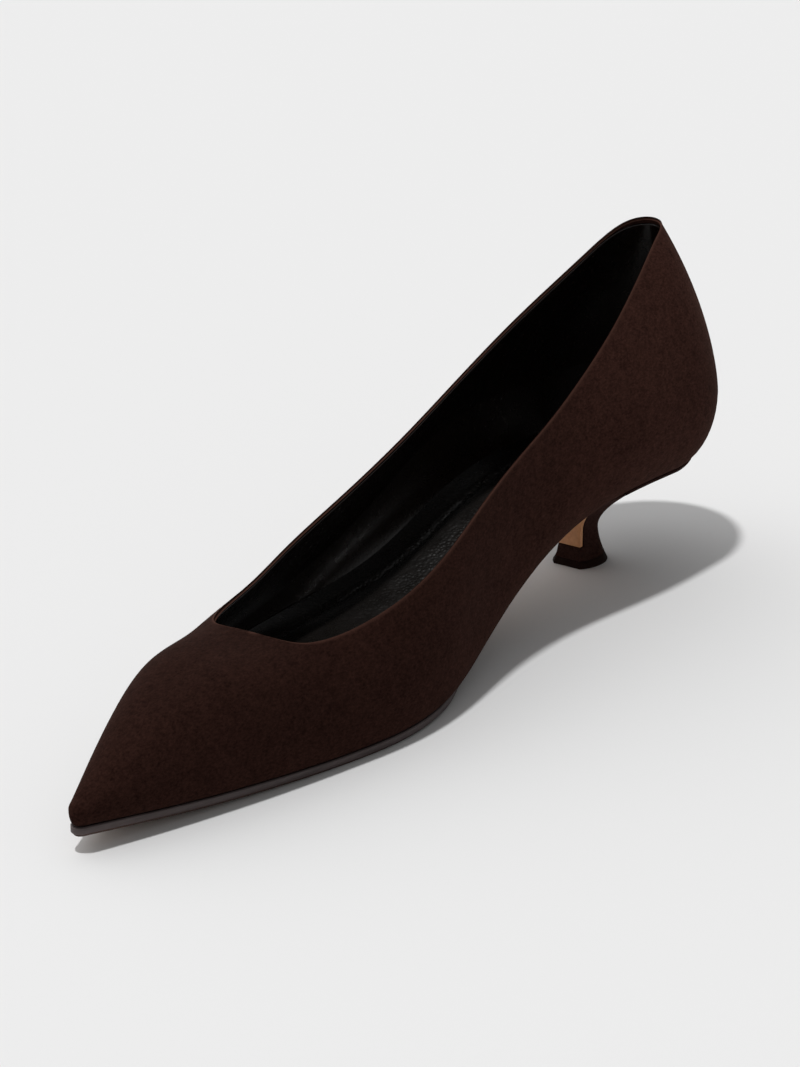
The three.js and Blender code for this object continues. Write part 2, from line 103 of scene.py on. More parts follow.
BACK = {
    "rise": 0.89, "feather": 0.68, "low": 0.32, "ridge": 1.085, "crest": 0.375, "round": 1.3,
    "lead": 0.65, "ease": 1.95,
}

TOPLINE_COLUMNS = ("along", "medial", "lateral")
TOPLINE = (
    (0.268, 0.320, 0.310),
    (0.330, 0.360, 0.310),
    (0.400, 0.408, 0.328),
    (0.480, 0.479, 0.393),
    (0.560, 0.557, 0.484),
    (0.640, 0.637, 0.587),
    (0.720, 0.731, 0.712),
    (0.800, 0.841, 0.837),
    (0.880, 0.951, 0.951),
)
THROAT_ALONG = 0.268
THROAT_CORNER = 20.0
THROAT_SQUARE = 3.6

HALF_TURN = math.pi
QUARTER = math.pi / 2
SIDES = ("medial", "lateral")
SIGN = {"medial": 1.0, "lateral": -1.0}
OTHER = {"medial": "lateral", "lateral": "medial"}


def natural_spline(xs, ys):
    """Smooth curve through one column of a table"""
    count = len(xs)
    matrix = np.eye(count)
    right = np.zeros(count)
    for i in range(1, count - 1):
        before, after = xs[i] - xs[i - 1], xs[i + 1] - xs[i]
        matrix[i, i - 1:i + 2] = before, 2 * (before + after), after
        right[i] = 6 * ((ys[i + 1] - ys[i]) / after - (ys[i] - ys[i - 1]) / before)
    bend = np.linalg.solve(matrix, right).tolist()

    def curve(x):
        k = min(max(bisect_right(xs, x) - 1, 0), count - 2)
        span = xs[k + 1] - xs[k]
        a, b = (xs[k + 1] - x) / span, (x - xs[k]) / span
        curl = ((a ** 3 - a) * bend[k] + (b ** 3 - b) * bend[k + 1]) * span * span / 6
        return a * ys[k] + b * ys[k + 1] + curl

    return curve


def table_curves(columns, rows):
    xs = [row[0] for row in rows]
    return {name: natural_spline(xs, [row[i] for row in rows])
            for i, name in enumerate(columns) if name != "along"}


SECTION_CURVES = table_curves(COLUMNS, SECTIONS)
TOPLINE_CURVES = table_curves(TOPLINE_COLUMNS, TOPLINE)
FIRST, LAST = SECTIONS[0][0], SECTIONS[-1][0]
TOE_Y = HEEL_REACH - LENGTH
CUP_Y = TOE_Y + LAST * LENGTH
CUP_REACH = HEEL_REACH - CUP_Y


def tip_start():
    """Angle at which the toe's arc runs on from the sides"""
    wide = SECTION_CURVES["widest_medial"]
    slope = (wide(2 * FIRST) - wide(FIRST)) * BALL_WIDTH / (FIRST * LENGTH)
    lean = slope * TIP_REACH / (wide(FIRST) * BALL_WIDTH)
    return math.asin(min(lean / (1 - min(lean, 0.4)), 0.7))


TIP_TURN = tip_start()


def smooth(x, low, high):
    t = min(max((x - low) / (high - low), 0.0), 1.0)
    return t * t * (3 - 2 * t)


def section(kind, at):
    """Measures of the last at a station: 'toe' and 'cup' turn around the two ends, 'body' lies between"""
    along = {"toe": FIRST, "body": at, "cup": LAST}[kind]
    value = {name: curve(along) for name, curve in SECTION_CURVES.items()}
    form = {
        "kind": kind,
        "at": at,
        "along": along,
        "y": TOE_Y + along * LENGTH,
        "feather": SOLE_THICKNESS + CLEARANCE + max(value["rise"], 0.0) * SEAT_HEIGHT,
        "low": value["low"] * INSTEP_HEIGHT,
        "ridge": value["ridge"] * COLLAR_HEIGHT,
        "lean": value["lean"] * BALL_WIDTH,
    }
    for side in SIDES:
        form["inner_" + side] = value["feather_" + side] * BALL_WIDTH
        form["outer_" + side] = value["widest_" + side] * BALL_WIDTH
        form["round_" + side] = value["round_" + side]
    if kind == "cup":
        turned = math.sin(at)
        climb = turned * (BACK["lead"] + (1 - BACK["lead"]) * turned)
        ends = {
            "feather": SOLE_THICKNESS + CLEARANCE + BACK["rise"] * SEAT_HEIGHT,
            "low": BACK["low"] * INSTEP_HEIGHT,
            "ridge": BACK["ridge"] * COLLAR_HEIGHT,
            "round_medial": BACK["round"],
            "round_lateral": BACK["round"],
        }
        for name, end in ends.items():
            form[name] += (end - form[name]) * (climb if name == "ridge" else turned ** 2)
    return form


def profile(form, side, angles, depth):
    """x, z and growth of one side of a section, from the feather line at -90 degrees to the ridge at 90"""
    widest = form["outer_" + side] - depth
    foot = min(form["inner_" + side], widest)
    middle = form["feather"] + form["low"]
    power = 2 / form["round_" + side]
    cosine = np.maximum(np.cos(angles), 0.0)
    sine = np.sin(angles)
    below = angles <= 0
    grow = np.where(below, cosine, cosine ** power)
    sign = SIGN[side]
    x = np.where(
        below,
        sign * (foot + (widest - foot) * cosine),
        form["lean"] + (sign * widest - form["lean"]) * grow,
    )
    z = np.where(
        below,
        middle + (form["low"] - depth) * sine,
        middle + (form["ridge"] - depth - middle) * np.maximum(sine, 0.0) ** power,
    )
    return x, z, grow, below


def form_points(form, side, angles, depth=0.0):
    """Points of the last's form on one side of a station"""
    angles = np.atleast_1d(np.asarray(angles, float))
    x, z, grow, below = profile(form, side, angles, depth)
    y = np.full_like(x, form["y"])
    turn = form["at"]
    if form["kind"] == "toe":
        reach = (TIP_REACH - depth) * np.where(below, 1 - TIP_UNDERCUT * (1 - grow), grow)
        share = (math.sin(turn) - math.sin(TIP_TURN)) / (1 - math.sin(TIP_TURN))
        x = x * math.cos(turn) / math.cos(TIP_TURN)
        y = y - reach * share
    elif form["kind"] == "cup":
        middle = (x + profile(form, OTHER[side], angles, depth)[0]) / 2
        least = np.where(below, BACK["feather"], BACK["crest"]) * CUP_REACH
        x = middle + (x - middle) * math.cos(turn)
        y = y + (least + (CUP_REACH - depth - least) * grow) * math.sin(turn)
    return np.stack([x, y, z], axis=1)


def topline_angle(form, side, drop=0.0):
    """Angle at which the topline, lowered by some drop, cuts a section"""
    throat = THROAT_ALONG - drop / LENGTH
    if form["kind"] == "toe" or (form["kind"] == "body" and form["at"] <= throat + 1e-9):
        return QUARTER
    height = TOPLINE_CURVES[side](max(form["along"], THROAT_ALONG)) * COLLAR_HEIGHT
    if form["kind"] == "cup":
        height += (COLLAR_HEIGHT - height) * (1 - (1 - math.sin(form["at"])) ** BACK["ease"])
    height -= drop
    power = form["round_" + side]
    middle = form["feather"] + form["low"]
    share = min(max((height - middle) / (form["ridge"] - middle), 0.0), 1.0)
    grow = (1 - share ** power) ** (1 / power)
    past = (form["at"] - throat) * LENGTH / THROAT_CORNER if form["kind"] == "body" else 1.0
    if past < 1:
        grow *= (1 - (1 - past) ** THROAT_SQUARE) ** (1 / THROAT_SQUARE)
    return math.acos(min(grow ** (power / 2), 1.0))


# Stations of the fine surface
TOE_STEPS, VAMP_STEPS, COLLAR_STEPS, CUP_STEPS = 12, 56, 110, 36
THROAT_CROWDING = 1.7


def stations(drop=0.0, start=FIRST):
    """Station keys from the toe tip to the back of the counter"""
    throat = THROAT_ALONG - drop / LENGTH
    keys = []
    if start == FIRST:
        keys += [("toe", QUARTER - i / TOE_STEPS * (QUARTER - TIP_TURN)) for i in range(TOE_STEPS)]
    keys += [("body", start + (throat - start) * i / VAMP_STEPS) for i in range(VAMP_STEPS)]
    keys += [("body", throat + (LAST - throat) * (i / COLLAR_STEPS) ** THROAT_CROWDING)
             for i in range(COLLAR_STEPS)]
    keys += [("cup", QUARTER * i / CUP_STEPS) for i in range(CUP_STEPS + 1)]
    return keys


def is_open(form, drop=0.0):
    return form["kind"] == "cup" or (form["kind"] == "body" and form["at"] >= THROAT_ALONG - drop / LENGTH - 1e-9)


def centre_point(form, z):
    """Point on the middle line of a station, at a height"""
    x = (form["inner_medial"] - form["inner_lateral"]) / 2
    y = form["y"]
    if form["kind"] == "toe":
        x *= math.cos(form["at"])
    return np.array([x, y, z])


class Patchwork:
    """Collects grids of points into one mesh and merges what coincides"""

    def __init__(self):
        self.points = []
        self.faces = []
        self.slots = []
        self.count = 0
        self.marks = []

    def grid(self, rows, flip=False, slot=0, mark=0.0):
        rows = np.asarray(rows, float)
        n, m = rows.shape[:2]
        index = self.count + np.arange(n * m).reshape(n, m)
        quads = np.stack([index[:-1, :-1], index[1:, :-1], index[1:, 1:], index[:-1, 1:]], -1).reshape(-1, 4)
        self.points.append(rows.reshape(-1, 3))
        self.faces.append(quads[:, ::-1] if flip else quads)
        self.slots.append(np.full(len(quads), slot))
        self.marks.append(np.broadcast_to(np.asarray(mark, float), (n, m)).reshape(-1))
        self.count += n * m

    def build(self, name, materials, sharp=math.radians(50)):
        points = np.concatenate(self.points)
        marks = np.concatenate(self.marks)
        keys = np.round(points / 1e-3).astype(np.int64)
        _, first, inverse = np.unique(keys, axis=0, return_index=True, return_inverse=True)
        faces = inverse.reshape(-1)[np.concatenate(self.faces)]
        slots = np.concatenate(self.slots)
        kept, kept_slots = [], []
        for face, slot in zip(faces.tolist(), slots.tolist()):
            loop = [v for i, v in enumerate(face) if v != face[i - 1]]
            if len(loop) >= 3 and len(set(loop)) == len(loop):
                kept.append(loop)
                kept_slots.append(slot)
        mesh = bpy.data.meshes.new(name)
        mesh.from_pydata((points[first] * MM).tolist(), [], kept)
        mesh.polygons.foreach_set("material_index", kept_slots)
        # Per point share of the painted highlight along the suede's folded edge
        attribute = mesh.attributes.new("painted_fold_highlight", "FLOAT", "POINT")
        attribute.data.foreach_set("value", marks[first].astype(np.float32))
        for material in materials:
            mesh.materials.append(material)
        mesh.shade_smooth()
        mesh.set_sharp_from_angle(angle=sharp)
        piece = bpy.data.objects.new(name, mesh)
        bpy.context.scene.collection.objects.link(piece)
        return piece


# Shader helpers

class Nodes:
    """Node tree of one material, with the Principled shader ready"""

    def __init__(self, name, **sockets):
        self.material = bpy.data.materials.new(name)
        self.material.use_nodes = True
        self.tree = self.material.node_tree
        self.shader = self.tree.nodes["Principled BSDF"]
        for socket, value in sockets.items():
            self.shader.inputs[socket.replace("_", " ").title().replace("Ior", "IOR")].default_value = value
        self.place = self.tree.nodes.new("ShaderNodeTexCoord").outputs["Object"]

    def add(self, kind, inputs=None, **settings):
        node = self.tree.nodes.new(kind)
        for name, value in settings.items():
            setattr(node, name, value)
        for name, value in (inputs or {}).items():
            self.put(node.inputs[name], value)
        return node

    def put(self, socket, value):
        if isinstance(value, bpy.types.NodeSocket):
            self.tree.links.new(value, socket)
        else:
            socket.default_value = value

    def stretched(self, x, y, z):
        return self.add("ShaderNodeMapping", {"Vector": self.place, "Scale": (x, y, z)}).outputs["Vector"]

    def noise(self, scale, detail=3.0, roughness=0.55, vector=None):
        return self.add("ShaderNodeTexNoise", {
            "Vector": vector or self.place, "Scale": scale, "Detail": detail, "Roughness": roughness,
        }).outputs["Fac"]

    def cells(self, scale, feature="F1"):
        return self.add("ShaderNodeTexVoronoi", {"Vector": self.place, "Scale": scale},
                        feature=feature).outputs["Distance"]

    def math(self, operation, a, b=0.0, c=0.0):
        return self.add("ShaderNodeMath", {0: a, 1: b, 2: c}, operation=operation).outputs[0]

    def span(self, value, low, high, to_low=0.0, to_high=1.0):
        return self.add("ShaderNodeMapRange", {
            "Value": value, "From Min": low, "From Max": high, "To Min": to_low, "To Max": to_high,
        }).outputs["Result"]

    def mix(self, share, a, b):
        node = self.add("ShaderNodeMix", data_type="RGBA")
        self.put(node.inputs["Factor"], share)
        self.put(node.inputs[6], a)
        self.put(node.inputs[7], b)
        return node.outputs[2]

    def bump(self, height, distance, strength=1.0, normal=None):
        inputs = {"Height": height, "Distance": distance, "Strength": strength}
        if normal is not None:
            inputs["Normal"] = normal
        return self.add("ShaderNodeBump", inputs).outputs["Normal"]

    def finish(self, colour=None, roughness=None, normal=None):
        if colour is not None:
            self.put(self.shader.inputs["Base Color"], colour)
        if roughness is not None:
            self.put(self.shader.inputs["Roughness"], roughness)
        if normal is not None:
            self.put(self.shader.inputs["Normal"], normal)
        return self.material


# Painted light and shade on the suede, darker high up, lighter low down and towards the heel: metres along the shoe
# and up, and how light the suede is there
PAINTED_LIGHT_ALONG = (-0.150, -0.010)
PAINTED_SHADE_RISE = (0.012, 0.044)
LOW_PAINTED_LIGHT, HIGH_PAINTED_SHADE, HEEL_PAINTED_LIGHT = 1.12, 0.72, 1.72


def suede(name, dark, light, highlight_colour):
    """Brushed suede: soft blotches where the nap turns, fine fibres, painted light and shade (darker high up, lighter
    low down and towards the heel) and a painted highlight along the folded edge
    """
    nodes = Nodes(name, roughness=0.95, specular_ior_level=0.02, sheen_weight=0.03, sheen_roughness=0.4)
    nodes.shader.inputs["Sheen Tint"].default_value = (0.80, 0.42, 0.32, 1)
    blotch = nodes.noise(55.0, 3.0, 0.6)
    brushed = nodes.noise(420.0, 3.0, 0.6)
    fibre = nodes.noise(1700.0, 2.0, 0.7, nodes.stretched(1.0, 0.6, 1.0))
    tone = nodes.math("MULTIPLY_ADD", fibre, 1.9, -1.2)
    tone = nodes.math("MULTIPLY_ADD", brushed, 1.0, tone)
    tone = nodes.math("MULTIPLY_ADD", blotch, 0.5, tone)
    colour = nodes.mix(tone, (*dark, 1), (*light, 1))
    # Painted light and shade: darker high up, lighter low down and lightest towards the heel
    place = nodes.add("ShaderNodeSeparateXYZ", {"Vector": nodes.place}).outputs
    high = nodes.span(place["Z"], *PAINTED_SHADE_RISE, LOW_PAINTED_LIGHT, HIGH_PAINTED_SHADE)
    back = nodes.span(place["Y"], *PAINTED_LIGHT_ALONG)
    value = nodes.math("MULTIPLY_ADD", back, nodes.math("SUBTRACT", HEEL_PAINTED_LIGHT, high), high)
    colour = nodes.add("ShaderNodeHueSaturation", {"Color": colour, "Value": value}).outputs["Color"]
    # Painted highlight along the topline's folded edge, mixed towards the last colour
    fold_highlight = nodes.add("ShaderNodeAttribute", attribute_name="painted_fold_highlight").outputs["Fac"]
    colour = nodes.mix(nodes.math("MULTIPLY", fold_highlight, 0.8), colour, (*highlight_colour, 1))
    normal = nodes.bump(brushed, 0.0003, 0.35)
    normal = nodes.bump(fibre, 0.00022, 0.55, normal)
    return nodes.finish(colour, None, normal)


def grained_leather(name, dark, light, roughness, grain, depth, coat=0.0):
    """Leather with a fine pebbled grain"""
    nodes = Nodes(name, specular_ior_level=0.5, coat_weight=coat, coat_roughness=0.2)
    cells = nodes.cells(grain)
    soft = nodes.noise(grain * 0.35, 3.0)
    pebble = nodes.math("ADD", nodes.math("MULTIPLY", cells, -0.8), nodes.math("MULTIPLY", soft, 0.5))
    colour = nodes.mix(nodes.span(soft, 0.3, 0.7), (*dark, 1), (*light, 1))
    rough = nodes.span(nodes.noise(180.0), 0.3, 0.7, roughness * 0.85, roughness * 1.2)
    return nodes.finish(colour, rough, nodes.bump(pebble, depth, 0.8))


def painted_edge(name, dark, light, roughness, gloss=0.3):
    """Edge paint over leather, with fine streaks along the sole"""
    nodes = Nodes(name, specular_ior_level=gloss)
    streak = nodes.noise(900.0, 3.0, 0.6, nodes.stretched(0.2, 0.06, 1.0))
    speck = nodes.noise(300.0, 4.0)
    colour = nodes.mix(nodes.span(streak, 0.25, 0.75), (*dark, 1), (*light, 1))
    rough = nodes.span(speck, 0.3, 0.7, roughness * 0.8, roughness * 1.2)
    return nodes.finish(colour, rough, nodes.bump(streak, 0.00012, 0.5))


# The last colour of each suede is its painted highlight along the fold
UPPER_SUEDE = suede("upper_suede", (0.0108, 0.0042, 0.0031), (0.0306, 0.0130, 0.0097), (0.075, 0.035, 0.026))
HEEL_SUEDE = suede("heel_suede", (0.0125, 0.0052, 0.0042), (0.0270, 0.0130, 0.0108), (0.030, 0.015, 0.010))
# The lining's rounded edge: the same leather, glossier, and lighter in colour as a painted highlight
LINING_RIM = grained_leather("lining_rim", (0.014, 0.008, 0.006), (0.022, 0.013, 0.010), 0.16, 700.0, 0.00010, 1.0)
LINING = grained_leather("lining_leather", (0.0075, 0.0042, 0.0028), (0.0110, 0.0064, 0.0045), 0.26, 1500.0, 0.00006, 0.6)
SOCK = grained_leather("sock_leather", (0.0052, 0.0042, 0.0036), (0.0092, 0.0076, 0.0066), 0.28, 1000.0, 0.00022, 0.5)
EDGE = painted_edge("edge_paint", (0.048, 0.034, 0.033), (0.088, 0.066, 0.064), 0.5)
EDGE_LINE = painted_edge("edge_line", (0.030, 0.012, 0.008), (0.055, 0.022, 0.014), 0.5)
SOLE = grained_leather("sole_leather", (0.22, 0.14, 0.095), (0.28, 0.185, 0.125), 0.5, 2200.0, 0.00004)
TAN = grained_leather("tan_leather", (0.56, 0.255, 0.110), (0.66, 0.315, 0.140), 0.45, 2200.0, 0.00004)
LIFT = painted_edge("lift_rubber", (0.012, 0.0055, 0.0042), (0.021, 0.0100, 0.0078), 0.8, 0.06)
THREAD = painted_edge("sock_thread", (0.003, 0.003, 0.003), (0.008, 0.007, 0.007), 0.55)


# Shell of the upper and its lining

LOW_ROWS, WALL_ROWS, FOLD_ROWS = 12, 40, 6
# How far down from the topline the painted highlight along the fold fades out
FOLD_HIGHLIGHT_REACH = 1.1

# Soft ridges on the suede: ends in millimetres, half width and height
RIDGES = (
    {"start": (20.0, -31.0, 30.0), "end": (24.5, -7.0, 43.0), "half": 2.2, "height": 0.35},
)


def ridge_lift(points):
    """How far the soft ridges raise each point"""
    lift = np.zeros(len(points))
    for ridge in RIDGES:
        start, end = np.array(ridge["start"]), np.array(ridge["end"])
        line = end - start
        share = np.clip((points - start) @ line / (line @ line), 0.0, 1.0)
        distance = np.linalg.norm(points - (start + share[:, None] * line), axis=1)
        fade = np.sin(np.clip(share, 0.02, 0.98) * HALF_TURN) ** 0.6
        lift += ridge["height"] * fade * np.exp(-(distance / ridge["half"]) ** 2)
    return lift


def wall_faces(drop, depths):
    """Rows of points of the outer and inner faces of a wall: one array per side and depth"""
    keys = stations(drop)
    forms = [section(*key) for key in keys]
    faces = {}
    for side in SIDES:
        for depth in depths:
            columns = []
            for form in forms:
                top = topline_angle(form, side, drop)
                angles = np.concatenate([
                    -QUARTER + QUARTER * np.arange(LOW_ROWS) / LOW_ROWS,
                    top * np.arange(WALL_ROWS + 1) / WALL_ROWS,
                ])
                columns.append(form_points(form, side, angles, depth))
            faces[side, depth] = np.array(columns)
    return forms, faces


def rim_rows(outer, inner, sense):
    """Half round edge between the ends of two faces, on the side of the opening"""
    ahead = np.roll(outer, -1, axis=0) - np.roll(outer, 1, axis=0)
    ahead /= np.linalg.norm(ahead, axis=1, keepdims=True)
    across = outer - inner
    radius = np.linalg.norm(across, axis=1, keepdims=True) / 2
    across = across / (2 * radius)
    rise = np.cross(across, ahead) * sense
    rise /= np.linalg.norm(rise, axis=1, keepdims=True)
    middle = (outer + inner) / 2
    angles = HALF_TURN * np.arange(FOLD_ROWS + 1) / FOLD_ROWS
    return np.stack([middle + radius * (math.cos(a) * across + math.sin(a) * rise) for a in angles], axis=1)


def add_rim(patches, forms, outer, inner, drop, mark=0.0, slot=0):
    """The edge all round the opening, as one closed ring"""
    opening = [i for i, form in enumerate(forms) if is_open(form, drop)]
    ring_outer = np.concatenate([outer["medial"][opening], outer["lateral"][opening][-2:0:-1]])
    ring_inner = np.concatenate([inner["medial"][opening], inner["lateral"][opening][-2:0:-1]])
    rows = rim_rows(ring_outer, ring_inner, -1.0)
    rows = np.concatenate([rows, rows[:1]])
    patches.grid(rows, mark=mark, slot=slot)


def add_wall(patches, forms, faces, outer_depth, inner_depth):
    for side in SIDES:
        flip = side == "lateral"
        patches.grid(faces[side, outer_depth], flip=not flip)
        patches.grid(faces[side, inner_depth], flip=flip)


def make_upper():
    """Suede from the turned margin under the foot, up the outside, over the topline and down inside"""
    drop = FOLD
    forms, faces = wall_faces(drop, (0.0, SUEDE))
    patches = Patchwork()
    for side in SIDES:
        outer = faces[side, 0.0]
        flat = outer.reshape(-1, 3)
        normals = np.cross(np.gradient(outer, axis=0), np.gradient(outer, axis=1)).reshape(-1, 3)
        size = np.linalg.norm(normals, axis=1, keepdims=True)
        normals = normals / np.maximum(size, 1e-9)
        outward = np.where(normals[:, :1] * flat[:, :1] < 0, -1.0, 1.0)
        outer = (flat + normals * outward * ridge_lift(flat)[:, None]).reshape(outer.shape)
        faces[side, 0.0] = outer
        margin_out, margin_in = [], []
        for form, foot, inside in zip(forms, outer[:, 0], faces[side, SUEDE][:, 0]):
            centre = centre_point(form, foot[2])
            reach = max(np.linalg.norm((centre - foot)[:2]), 1e-6)
            share = min(MARGIN / reach, 0.7)
            under = foot + (centre - foot) * share
            margin_out.append([under, foot])
            lifted = np.array([0, 0, MARGIN_THICKNESS])
            margin_in.append([under + lifted, foot * (1, 1, 0) + (0, 0, inside[2])])
        flip = side == "lateral"
        patches.grid(margin_out, flip=not flip)
        patches.grid(margin_in, flip=flip)
        closing = np.stack([np.array(margin_in)[:, 0], np.array(margin_out)[:, 0]], axis=1)
        patches.grid(closing, flip=not flip)
        # Painted highlight, strongest at the topline and fading down the suede
        fold_highlight = np.zeros(outer.shape[:2])
        opening = np.array([is_open(form, drop) for form in forms])
        gap = np.linalg.norm(outer - outer[:, -1:], axis=2)
        fold_highlight[opening] = np.clip(1 - gap[opening] / FOLD_HIGHLIGHT_REACH, 0.0, 1.0) ** 1.5
        patches.grid(outer, flip=not flip, mark=fold_highlight)
        patches.grid(faces[side, SUEDE], flip=flip)
    # The rolled edge carries the full painted highlight
    add_rim(patches, forms, {s: faces[s, 0.0][:, -1] for s in SIDES},
            {s: faces[s, SUEDE][:, -1] for s in SIDES}, drop, 1.0)
    piece = patches.build("upper", [UPPER_SUEDE])
    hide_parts("upper")
    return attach(piece, BODY)


def make_lining():
    """Glossy lining inside the suede, its rounded edge a little below the topline"""
    drop = LINING_DROP
    outer_depth, inner_depth = SUEDE + LINING_GAP, WALL
    forms, faces = wall_faces(drop, (outer_depth, inner_depth))
    patches = Patchwork()
    add_wall(patches, forms, faces, outer_depth, inner_depth)
    for side in SIDES:
        foot = np.stack([faces[side, inner_depth][:, 0], faces[side, outer_depth][:, 0]], axis=1)
        patches.grid(foot, flip=side == "medial")
    # Its rounded edge takes the lighter rim leather, a painted highlight
    add_rim(patches, forms, {s: faces[s, outer_depth][:, -1] for s in SIDES},
            {s: faces[s, inner_depth][:, -1] for s in SIDES}, drop, slot=1)
    piece = patches.build("lining", [LINING, LINING_RIM])
    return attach(piece, BODY)


# Sock inside the shoe, with its stitched line

SOCK_START = 0.05
SOCK_ROWS = 22
SOCK_EDGE_RISE = 1.1
SOCK_EDGE_REACH = 4.5
STITCH_INSET = 8.0
GROOVE_HALF = 0.9
GROOVE_DEPTH = 0.45
PAD_CROWN = 0.5


def sock_edge(form, side):
    """Where the sock's top meets the lining"""
    depth = WALL + CLEARANCE
    height = SOCK_THICKNESS
    sine = min(height / (form["low"] - depth) - 1, 0.0)
    return form_points(form, side, math.asin(sine), depth)[0]


def sock_height(inset, half):
    """Height of the sock's top over its edge: padded between edge and stitches, dished in the middle"""
    edge = SOCK_EDGE_RISE * max(1 - inset / SOCK_EDGE_REACH, 0.0) ** 2
    line = min(STITCH_INSET, 0.55 * half)
    groove = -GROOVE_DEPTH * math.exp(-((inset - line) / GROOVE_HALF) ** 2)
    pad = PAD_CROWN * math.sin(HALF_TURN * min(inset / line, 1.0)) if line > 0 else 0.0
    middle = PAD_CROWN * 0.8 * smooth(inset, line, line + 5.0)
    return edge + groove + pad + middle


def sock_row(form, side):
    """Top of the sock from the edge to the middle line of one side"""
    edge = sock_edge(form, side)
    centre = centre_point(form, edge[2])
    half = np.linalg.norm((centre - edge)[:2])
    row = []
    for i in range(SOCK_ROWS + 1):
        share = 1 - (1 - i / SOCK_ROWS) ** 1.0
        point = edge + (centre - edge) * share
        point[2] += sock_height(share * half, half) - 0.4
        row.append(point)
    return row


def make_sock():
    forms = [section(*key) for key in stations(0.0, SOCK_START)]
    patches = Patchwork()
    rows = {side: np.array([sock_row(form, side) for form in forms]) for side in SIDES}
    middle = (rows["medial"][:, -1] + rows["lateral"][:, -1]) / 2
    for side in SIDES:
        rows[side][:, -1] = middle
        flip = side == "medial"
        under = rows[side].copy()
        floor = np.array([form["feather"] + MARGIN_THICKNESS + 0.2 for form in forms])
        under[:, :, 2] = floor[:, None]
        side_depth = np.array([form_points(form, side, -QUARTER, WALL + CLEARANCE)[0] for form in forms])
        shoulder = side_depth.copy()
        patches.grid(rows[side], flip=not flip)
        inner = under.copy()
        inner[:, 0, :2] = shoulder[:, :2]
        patches.grid(inner, flip=flip)
        wall = np.stack([inner[:, 0], shoulder, rows[side][:, 0]], axis=1)
        patches.grid(wall, flip=not flip)
        patches.grid(np.stack([inner[:1, :].reshape(-1, 3), rows[side][:1, :].reshape(-1, 3)], axis=1), flip=flip)
    piece = patches.build("insole", [SOCK])
    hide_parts("insole")
    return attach(piece, BODY)


STITCH_PITCH = 3.1
STITCH_LENGTH = 2.3
STITCH_RADIUS = 0.3
STITCH_SIDES = 6


def stitch_line():
    """Points of the sock's stitched line: down the medial side, round the back and up the lateral side"""
    forms = [section(*key) for key in stations(0.0, SOCK_START) if key[0] == "cup" or key[1] > 0.14]
    halves = {}
    for side in SIDES:
        points = []
        for form in forms:
            edge = sock_edge(form, side)
            centre = centre_point(form, edge[2])
            half = np.linalg.norm((centre - edge)[:2])
            inset = min(STITCH_INSET, 0.55 * half)
            point = edge + (centre - edge) * inset / half
            point[2] += sock_height(inset, half) - 0.4 + STITCH_RADIUS * 0.6
            points.append(point)
        halves[side] = np.array(points)
    return np.concatenate([halves["medial"], halves["lateral"][::-1][1:]])


def walk(points, pitch):
    """Evenly spaced places along a line, with directions"""
    steps = np.linalg.norm(np.diff(points, axis=0), axis=1)
    total = np.concatenate([[0], np.cumsum(steps)])
    places = np.arange(pitch / 2, total[-1], pitch)
    at = np.stack([np.interp(places, total, points[:, k]) for k in range(3)], axis=1)
    ahead = np.stack([np.interp(places + 0.4, total, points[:, k]) for k in range(3)], axis=1)
    direction = ahead - at
    return at, direction / np.linalg.norm(direction, axis=1, keepdims=True)


def make_stitches():
    at, direction = walk(stitch_line(), STITCH_PITCH)
    patches = Patchwork()
    lengthwise = np.linspace(-1, 1, 7)
    for place, ahead in zip(at, direction):
        side = np.cross(ahead, (0, 0, 1))
        side /= np.linalg.norm(side)
        up = np.cross(side, ahead)
        rows = []
        for t in lengthwise:
            radius = STITCH_RADIUS * math.sqrt(max(1 - t ** 4, 0.0))
            spine = place + ahead * t * STITCH_LENGTH / 2 - up * 0.25 * t * t
            ring = [spine + radius * (math.cos(a) * side + math.sin(a) * up)
                    for a in np.linspace(0, 2 * HALF_TURN, STITCH_SIDES + 1)]
            rows.append(ring)
        patches.grid(rows)
    piece = patches.build("sock_stitches", [THREAD])
    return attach(piece, BODY)


# Outsole

SOLE_ROWS = 10
EDGE_ROUND = 0.25


def ledge(form):
    share = smooth(form["along"], WAIST_START, WAIST_END)
    return SOLE_LEDGE + (-WAIST_INSET - SOLE_LEDGE) * share


def edge_point(form, side, beyond, z):
    foot = form_points(form, side, -QUARTER)[0]
    turn = 0.0
    if form["kind"] == "toe":
        turn = (form["at"] - TIP_TURN) / (QUARTER - TIP_TURN) * QUARTER
    out = np.array([SIGN[side] * math.cos(turn), -math.sin(turn), 0])
    point = foot + out * beyond
    point[2] = z
    return point


